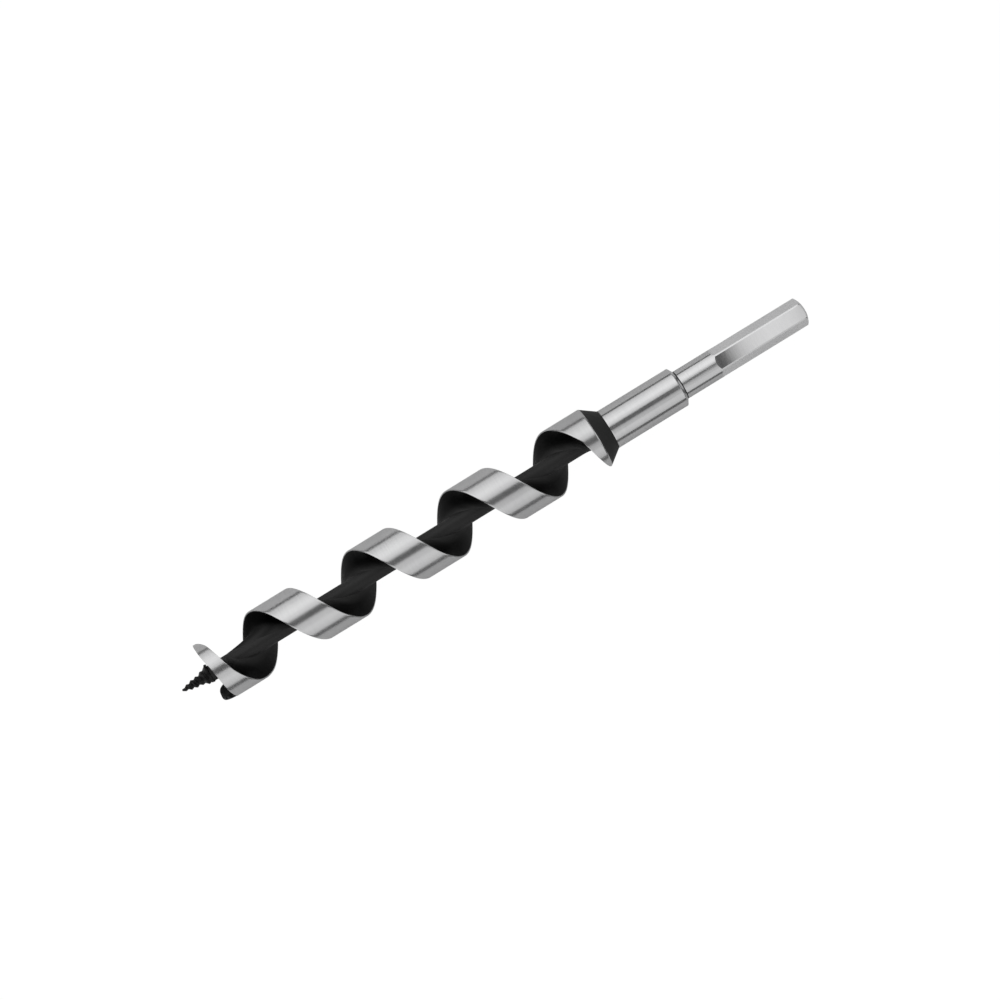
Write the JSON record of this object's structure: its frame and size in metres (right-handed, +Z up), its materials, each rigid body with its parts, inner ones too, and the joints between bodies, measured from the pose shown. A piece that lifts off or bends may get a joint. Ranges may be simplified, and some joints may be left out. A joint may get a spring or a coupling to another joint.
{
  "type": "ship auger bit",
  "caption": "Single-twist wood auger bit with a lead screw, a cutting lip and scoring spur, a wide ground helical flighting on a solid centre, a collar and a hexagonal drive shank.",
  "frame": {"origin": "on the bit's axis at the shoulder where the shank leaves the collar", "axes": "+X along the axis from the lead screw to the end of the shank; +Z up, with the bit lying on its twist; +Y across"},
  "size_m": [0.2283, 0.0206, 0.0206],
  "materials": {
    "black_point": "satin black oxide",
    "black_flute": "satin black coating, rim ground bright",
    "ground_steel": "fine ground steel"
  },
  "bodies": {
    "bit_body": {"cutting_head": "black_flute", "scoring_spur": "black_point", "flighting": "black_flute", "core_shaft": "black_flute", "collar": "ground_steel", "shank": "ground_steel"},
    "screw_point": {"lead_screw": "black_point"}
  },
  "joints": [
    {"name": "screw_out", "type": "slide", "parent": "bit_body", "child": "screw_point", "axis": [-1, 0, 0], "range_m": [0, 0.013]}
  ]
}
